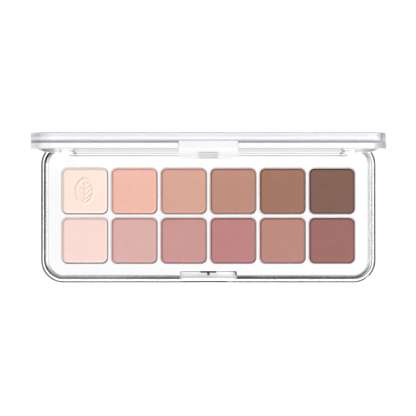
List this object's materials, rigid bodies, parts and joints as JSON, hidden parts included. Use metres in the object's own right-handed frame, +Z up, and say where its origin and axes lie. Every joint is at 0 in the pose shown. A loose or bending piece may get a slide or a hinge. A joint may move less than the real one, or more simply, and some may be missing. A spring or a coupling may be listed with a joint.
{
  "type": "eyeshadow palette",
  "caption": "Slim clear-plastic eyeshadow palette with a hinged mirror lid, a white tray and two rows of pressed powders in square metal pans.",
  "frame": {"origin": "middle of the base's underside, on the plane that the palette rests on", "axes": "+X right across the pans, +Y to the hinge at the rear, +Z up out of the pans"},
  "size_m": [0.156, 0.0678, 0.0723],
  "materials": {
    "clear_plastic": "clear, polished, thick",
    "white_plastic": "white, semi-gloss, moulded",
    "frosted_plastic": "translucent white, satin",
    "pan_metal": "pressed tin-plate, satin",
    "pin_steel": "drawn steel wire",
    "mirror": "silvered float glass",
    "foam_tape": "double-sided mounting tape",
    "label_film": "blank printed-label stock",
    "powder_ivory": "pressed powder, matte",
    "powder_peach": "pressed powder, matte",
    "powder_sand": "pressed powder, matte",
    "powder_camel": "pressed powder, matte",
    "powder_toffee": "pressed powder, matte",
    "powder_cocoa": "pressed powder, matte",
    "powder_petal": "pressed powder, matte",
    "powder_blush": "pressed powder, matte",
    "powder_rose": "pressed powder, matte",
    "powder_mauve": "pressed powder, matte",
    "powder_clay": "pressed powder, matte",
    "powder_berry": "pressed powder, matte"
  },
  "bodies": {
    "base": {"base_shell": "clear_plastic", "tray": "white_plastic", "bottom_label": "label_film", "hinge_pin_left": "pin_steel", "hinge_pin_right": "pin_steel", "pan_rear_1": "pan_metal", "pan_rear_2": "pan_metal", "pan_rear_3": "pan_metal", "pan_rear_4": "pan_metal", "pan_rear_5": "pan_metal", "pan_rear_6": "pan_metal", "pan_front_1": "pan_metal", "pan_front_2": "pan_metal", "pan_front_3": "pan_metal", "pan_front_4": "pan_metal", "pan_front_5": "pan_metal", "pan_front_6": "pan_metal", "powder_rear_1": "powder_ivory", "powder_rear_2": "powder_peach", "powder_rear_3": "powder_sand", "powder_rear_4": "powder_camel", "powder_rear_5": "powder_toffee", "powder_rear_6": "powder_cocoa", "powder_front_1": "powder_petal", "powder_front_2": "powder_blush", "powder_front_3": "powder_rose", "powder_front_4": "powder_mauve", "powder_front_5": "powder_clay", "powder_front_6": "powder_berry"},
    "lid": {"lid_shell": "clear_plastic", "lid_frame": "white_plastic", "mirror": "mirror", "mirror_tape": "foam_tape", "latch_tab": "frosted_plastic"}
  },
  "joints": [
    {"name": "lid_hinge", "type": "hinge", "parent": "base", "child": "lid", "pos_m": [0, 0.03025, 0.0094], "axis": [-1, 0, 0], "range_deg": [-90, 30]}
  ]
}
